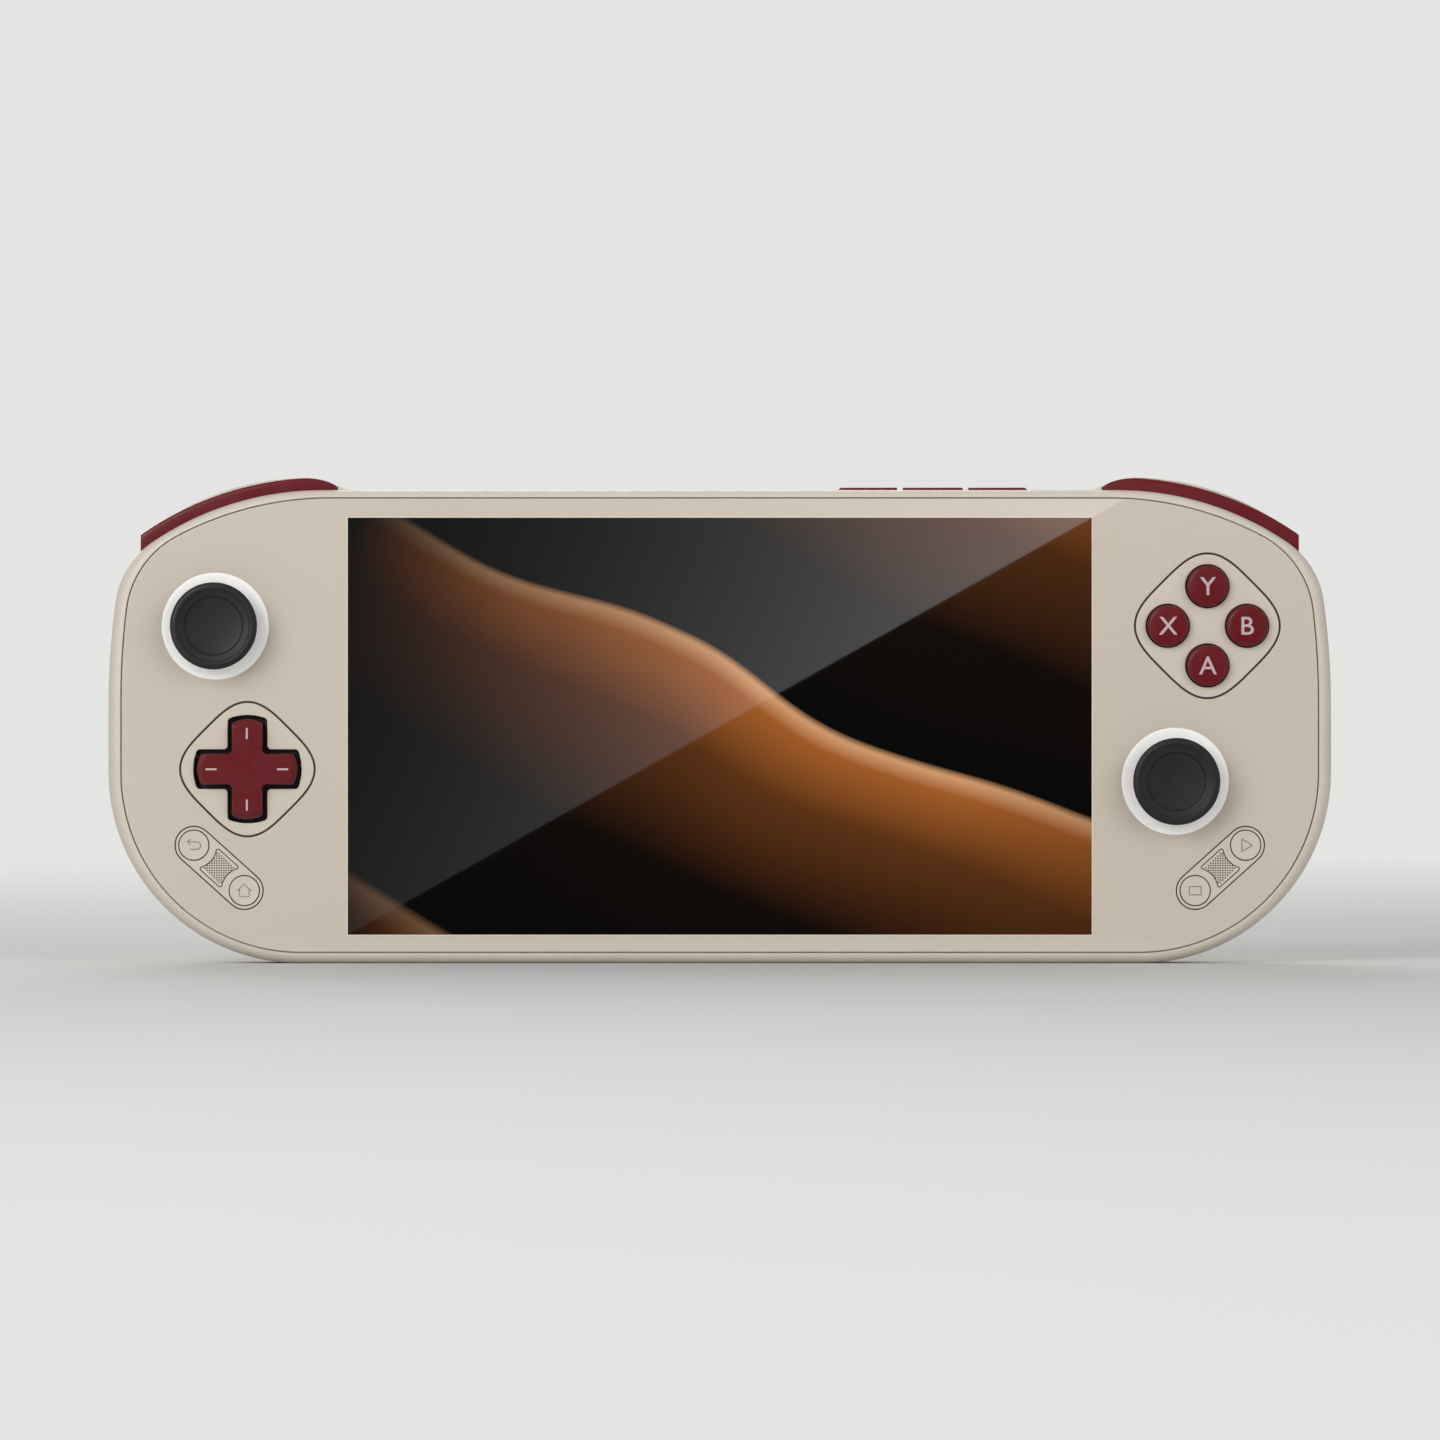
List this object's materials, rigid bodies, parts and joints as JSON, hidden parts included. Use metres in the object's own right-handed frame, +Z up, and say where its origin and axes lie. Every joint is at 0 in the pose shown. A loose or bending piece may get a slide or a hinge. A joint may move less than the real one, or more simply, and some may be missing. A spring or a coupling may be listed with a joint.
{
  "type": "handheld game console",
  "caption": "Handheld game console: wide glass front with tilting thumbsticks, a rocking direction pad, push buttons, hinged shoulder bumpers and triggers, and sliding keys in the top edge.",
  "frame": {"origin": "middle of the flat bottom edge, half way through the body's thickness", "axes": "+X to the player's right along the width, +Y from the glass towards the back, +Z up the front; the glass faces -Y"},
  "size_m": [0.214, 0.0219, 0.0851],
  "materials": {
    "printed_glass": "gloss, printed behind",
    "display": "gloss",
    "shell": "satin",
    "inset_plate": "satin",
    "burgundy": "satin",
    "light_ring": "frosted gloss",
    "stick_rubber": "matt",
    "black_plastic": "matt",
    "cell_wrap": "satin film",
    "steel": "satin",
    "alloy": "satin",
    "circuit_board": "solder mask",
    "copper": "satin",
    "cable_film": "satin",
    "contact_mat": "matt"
  },
  "bodies": {
    "case": {"front_glass": "printed_glass", "display_panel": "display", "middle_frame": "shell", "back_cover": "shell", "chassis_plate": "alloy", "main_board": "circuit_board", "left_board": "circuit_board", "right_board": "circuit_board", "port_board": "circuit_board", "usb_port": "steel", "battery": "cell_wrap", "fan_housing": "black_plastic", "heat_sink": "copper", "ribbon_cables": "cable_film", "case_screws": "steel", "left_speaker": "black_plastic", "right_speaker": "black_plastic", "left_light_ring": "light_ring", "right_light_ring": "light_ring", "left_stick_base": "black_plastic", "right_stick_base": "black_plastic", "dpad_plate": "inset_plate", "dpad_post": "black_plastic", "dpad_mat": "contact_mat", "face_plate": "inset_plate", "face_mat": "contact_mat", "left_pill_plate": "inset_plate", "right_pill_plate": "inset_plate", "left_shoulder": "shell", "right_shoulder": "shell"},
    "left_rocker": {"left_stick_rocker": "steel"},
    "left_hub": {"left_stick_hub": "black_plastic"},
    "left_stick": {"left_stick_lever": "steel", "left_stick_cap": "stick_rubber"},
    "left_arch": {"left_stick_arch": "steel"},
    "right_rocker": {"right_stick_rocker": "steel"},
    "right_hub": {"right_stick_hub": "black_plastic"},
    "right_stick": {"right_stick_lever": "steel", "right_stick_cap": "stick_rubber"},
    "right_arch": {"right_stick_arch": "steel"},
    "dpad_ball": {"dpad_ball": "steel"},
    "dpad": {"dpad_cross": "burgundy", "dpad_disc": "black_plastic"},
    "a_button": {"a_button": "burgundy"},
    "b_button": {"b_button": "burgundy"},
    "x_button": {"x_button": "burgundy"},
    "y_button": {"y_button": "burgundy"},
    "back_button": {"back_button": "inset_plate"},
    "home_button": {"home_button": "inset_plate"},
    "play_button": {"play_button": "inset_plate"},
    "screen_button": {"screen_button": "inset_plate"},
    "volume_down_key": {"volume_down_key": "burgundy"},
    "volume_up_key": {"volume_up_key": "burgundy"},
    "power_key": {"power_key": "burgundy"},
    "left_bumper": {"left_bumper": "burgundy"},
    "right_bumper": {"right_bumper": "burgundy"},
    "left_trigger": {"left_trigger": "burgundy"},
    "right_trigger": {"right_trigger": "burgundy"},
    "fan_rotor": {"fan_rotor": "black_plastic"}
  },
  "joints": [
    {"name": "left_stick_tilt_up_down", "type": "hinge", "parent": "case", "child": "left_rocker", "pos_m": [-0.08816, -0.0005, 0.05894], "axis": [1, 0, 0], "range_deg": [-15, 15], "stiffness_Nm_per_rad": 0.04},
    {"name": "left_stick_tilt_sideways", "type": "hinge", "parent": "left_rocker", "child": "left_hub", "pos_m": [-0.08816, -0.0005, 0.05894], "axis": [0, 0, 1], "range_deg": [-15, 15], "stiffness_Nm_per_rad": 0.04},
    {"name": "left_stick_click", "type": "slide", "parent": "left_hub", "child": "left_stick", "axis": [0, 1, 0], "range_m": [0, 0.0004], "stiffness_N_per_m": 3000},
    {"name": "left_arch_turn", "type": "hinge", "parent": "case", "child": "left_arch", "pos_m": [-0.08816, -0.0005, 0.05894], "axis": [0, 0, 1], "range_deg": [-15, 15]},
    {"name": "right_stick_tilt_up_down", "type": "hinge", "parent": "case", "child": "right_rocker", "pos_m": [0.07957, -0.0005, 0.03184], "axis": [1, 0, 0], "range_deg": [-15, 15], "stiffness_Nm_per_rad": 0.04},
    {"name": "right_stick_tilt_sideways", "type": "hinge", "parent": "right_rocker", "child": "right_hub", "pos_m": [0.07957, -0.0005, 0.03184], "axis": [0, 0, 1], "range_deg": [-15, 15], "stiffness_Nm_per_rad": 0.04},
    {"name": "right_stick_click", "type": "slide", "parent": "right_hub", "child": "right_stick", "axis": [0, 1, 0], "range_m": [0, 0.0004], "stiffness_N_per_m": 3000},
    {"name": "right_arch_turn", "type": "hinge", "parent": "case", "child": "right_arch", "pos_m": [0.07957, -0.0005, 0.03184], "axis": [0, 0, 1], "range_deg": [-15, 15]},
    {"name": "dpad_tilt_up_down", "type": "hinge", "parent": "case", "child": "dpad_ball", "pos_m": [-0.08253, -0.0029, 0.03395], "axis": [1, 0, 0], "range_deg": [-4, 4], "stiffness_Nm_per_rad": 0.08},
    {"name": "dpad_tilt_sideways", "type": "hinge", "parent": "dpad_ball", "child": "dpad", "pos_m": [-0.08253, -0.0029, 0.03395], "axis": [0, 0, 1], "range_deg": [-4, 4], "stiffness_Nm_per_rad": 0.08},
    {"name": "a_press", "type": "slide", "parent": "case", "child": "a_button", "axis": [0, 1, 0], "range_m": [0, 0.001], "stiffness_N_per_m": 600},
    {"name": "b_press", "type": "slide", "parent": "case", "child": "b_button", "axis": [0, 1, 0], "range_m": [0, 0.001], "stiffness_N_per_m": 600},
    {"name": "x_press", "type": "slide", "parent": "case", "child": "x_button", "axis": [0, 1, 0], "range_m": [0, 0.001], "stiffness_N_per_m": 600},
    {"name": "y_press", "type": "slide", "parent": "case", "child": "y_button", "axis": [0, 1, 0], "range_m": [0, 0.001], "stiffness_N_per_m": 600},
    {"name": "back_press", "type": "slide", "parent": "case", "child": "back_button", "axis": [0, 1, 0], "range_m": [0, 0.0004], "stiffness_N_per_m": 1500},
    {"name": "home_press", "type": "slide", "parent": "case", "child": "home_button", "axis": [0, 1, 0], "range_m": [0, 0.0004], "stiffness_N_per_m": 1500},
    {"name": "play_press", "type": "slide", "parent": "case", "child": "play_button", "axis": [0, 1, 0], "range_m": [0, 0.0004], "stiffness_N_per_m": 1500},
    {"name": "screen_press", "type": "slide", "parent": "case", "child": "screen_button", "axis": [0, 1, 0], "range_m": [0, 0.0004], "stiffness_N_per_m": 1500},
    {"name": "volume_down_press", "type": "slide", "parent": "case", "child": "volume_down_key", "axis": [0, 0, -1], "range_m": [0, 0.0004], "stiffness_N_per_m": 1500},
    {"name": "volume_up_press", "type": "slide", "parent": "case", "child": "volume_up_key", "axis": [0, 0, -1], "range_m": [0, 0.0004], "stiffness_N_per_m": 1500},
    {"name": "power_press", "type": "slide", "parent": "case", "child": "power_key", "axis": [0, 0, -1], "range_m": [0, 0.0004], "stiffness_N_per_m": 1500},
    {"name": "left_bumper_press", "type": "hinge", "parent": "case", "child": "left_bumper", "pos_m": [-0.06955, 0, 0.0811], "axis": [0, -1, 0], "range_deg": [0, 2.2], "stiffness_Nm_per_rad": 0.8},
    {"name": "right_bumper_press", "type": "hinge", "parent": "case", "child": "right_bumper", "pos_m": [0.06955, 0, 0.0811], "axis": [0, 1, 0], "range_deg": [0, 2.2], "stiffness_Nm_per_rad": 0.8},
    {"name": "left_trigger_pull", "type": "hinge", "parent": "case", "child": "left_trigger", "pos_m": [-0.0691, 0.004, 0.0809], "axis": [-0.9557, 0, -0.2944], "range_deg": [0, 16], "stiffness_Nm_per_rad": 0.03},
    {"name": "right_trigger_pull", "type": "hinge", "parent": "case", "child": "right_trigger", "pos_m": [0.0691, 0.004, 0.0809], "axis": [-0.9557, 0, 0.2944], "range_deg": [0, 16], "stiffness_Nm_per_rad": 0.03},
    {"name": "fan_spin", "type": "hinge", "parent": "case", "child": "fan_rotor", "pos_m": [-0.042, 0, 0.0589], "axis": [0, 1, 0], "continuous": true}
  ],
  "couplings": [
    {"joint": "left_arch_turn", "follows": "left_stick_tilt_sideways", "ratio": 1},
    {"joint": "right_arch_turn", "follows": "right_stick_tilt_sideways", "ratio": 1}
  ]
}
